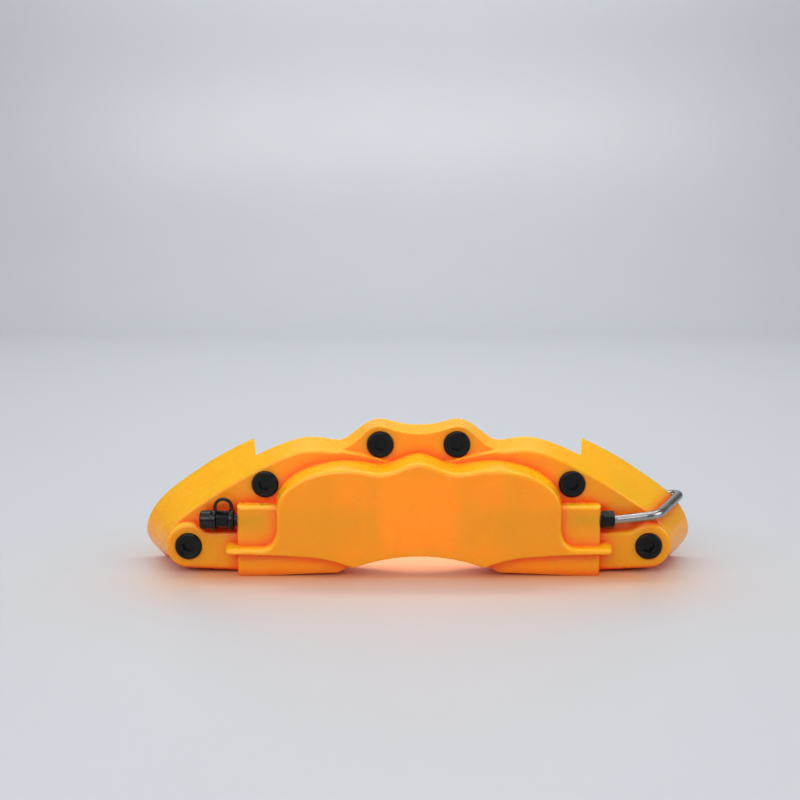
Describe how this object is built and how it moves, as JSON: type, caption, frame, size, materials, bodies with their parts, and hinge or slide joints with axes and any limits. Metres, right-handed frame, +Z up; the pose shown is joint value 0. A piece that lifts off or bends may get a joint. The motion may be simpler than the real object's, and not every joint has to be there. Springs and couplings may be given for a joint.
{
  "type": "brake caliper cover",
  "caption": "Moulded decorative cover for a brake caliper, with socket screws, bleed nipple with dust cap, bent crossover tube and slotted rear brackets.",
  "frame": {"origin": "middle of the footprint: middle of the length, middle of the full depth from the face of the panel to the back of the tube, on the surface the cover stands on", "axes": "+X to the right seen from the front, +Y from the front face towards the open back, +Z up"},
  "size_m": [0.2832, 0.0478, 0.0752],
  "materials": {
    "cover_plastic": "gloss, slightly translucent orange-yellow moulding",
    "black_screw": "black oxide, satin",
    "black_steel": "black oxide, satin",
    "black_rubber": "moulded rubber, semi-matt",
    "zinc_tube": "zinc plated, slightly dull",
    "zinc_plate": "bright zinc plate",
    "stainless_sheet": "rolled stainless sheet",
    "brass": "turned brass"
  },
  "bodies": {
    "cover": {"cover_shell": "cover_plastic", "captive_nuts": "zinc_plate", "nipple_insert": "brass", "pipe_insert": "brass", "pipe_union": "black_steel", "crossover_pipe": "zinc_tube", "pipe_grommet": "black_rubber", "bracket_washers": "zinc_plate", "bracket_inserts": "brass"},
    "screw_top_left": {"screw_top_left": "black_screw"},
    "screw_top_right": {"screw_top_right": "black_screw"},
    "screw_mid_left": {"screw_mid_left": "black_screw"},
    "screw_mid_right": {"screw_mid_right": "black_screw"},
    "screw_end_left": {"screw_end_left": "black_screw"},
    "screw_end_right": {"screw_end_right": "black_screw"},
    "bracket_screw_left_inner": {"bracket_screw_left_inner": "zinc_plate"},
    "bracket_screw_left_outer": {"bracket_screw_left_outer": "zinc_plate"},
    "bracket_screw_right_inner": {"bracket_screw_right_inner": "zinc_plate"},
    "bracket_screw_right_outer": {"bracket_screw_right_outer": "zinc_plate"},
    "bleed_nipple": {"bleed_nipple": "black_steel"},
    "dust_cap": {"dust_cap": "black_rubber"},
    "pipe_nut": {"pipe_nut": "black_steel"},
    "bracket_left": {"bracket_left": "stainless_sheet", "bracket_pad_left": "black_rubber"},
    "bracket_right": {"bracket_right": "stainless_sheet", "bracket_pad_right": "black_rubber"}
  },
  "joints": [
    {"name": "screw_top_left_turn", "type": "hinge", "parent": "cover", "child": "screw_top_left", "pos_m": [-0.019, -0.00833, 0.0636], "axis": [0, -1, 0], "continuous": true},
    {"name": "screw_top_right_turn", "type": "hinge", "parent": "cover", "child": "screw_top_right", "pos_m": [0.019, -0.00833, 0.0636], "axis": [0, -1, 0], "continuous": true},
    {"name": "screw_mid_left_turn", "type": "hinge", "parent": "cover", "child": "screw_mid_left", "pos_m": [-0.0762, -0.01013, 0.0439], "axis": [0, -1, 0], "continuous": true},
    {"name": "screw_mid_right_turn", "type": "hinge", "parent": "cover", "child": "screw_mid_right", "pos_m": [0.0762, -0.01013, 0.0439], "axis": [0, -1, 0], "continuous": true},
    {"name": "screw_end_left_turn", "type": "hinge", "parent": "cover", "child": "screw_end_left", "pos_m": [-0.114, -0.01512, 0.0137], "axis": [0, -1, 0], "continuous": true},
    {"name": "screw_end_right_turn", "type": "hinge", "parent": "cover", "child": "screw_end_right", "pos_m": [0.114, -0.01512, 0.0137], "axis": [0, -1, 0], "continuous": true},
    {"name": "bracket_screw_left_inner_turn", "type": "hinge", "parent": "cover", "child": "bracket_screw_left_inner", "pos_m": [-0.034, -0.00643, 0.029], "axis": [0, 1, 0], "continuous": true},
    {"name": "bracket_screw_left_outer_turn", "type": "hinge", "parent": "cover", "child": "bracket_screw_left_outer", "pos_m": [-0.052, -0.00643, 0.029], "axis": [0, 1, 0], "continuous": true},
    {"name": "bracket_screw_right_inner_turn", "type": "hinge", "parent": "cover", "child": "bracket_screw_right_inner", "pos_m": [0.034, -0.00643, 0.029], "axis": [0, 1, 0], "continuous": true},
    {"name": "bracket_screw_right_outer_turn", "type": "hinge", "parent": "cover", "child": "bracket_screw_right_outer", "pos_m": [0.052, -0.00643, 0.029], "axis": [0, 1, 0], "continuous": true},
    {"name": "bleed_nipple_turn", "type": "hinge", "parent": "cover", "child": "bleed_nipple", "pos_m": [-0.0892, -0.01452, 0.0273], "axis": [-1, 0, 0], "range_deg": [0, 540]},
    {"name": "dust_cap_swivel", "type": "hinge", "parent": "cover", "child": "dust_cap", "pos_m": [-0.0923, -0.01452, 0.0273], "axis": [1, 0, 0], "range_deg": [-15, 160]},
    {"name": "pipe_nut_turn", "type": "hinge", "parent": "cover", "child": "pipe_nut", "pos_m": [0.0933, -0.01452, 0.0273], "axis": [1, 0, 0], "continuous": true},
    {"name": "bracket_left_slide", "type": "slide", "parent": "cover", "child": "bracket_left", "axis": [1, 0, 0], "range_m": [-0.004, 0.004]},
    {"name": "bracket_right_slide", "type": "slide", "parent": "cover", "child": "bracket_right", "axis": [1, 0, 0], "range_m": [-0.004, 0.004]}
  ]
}
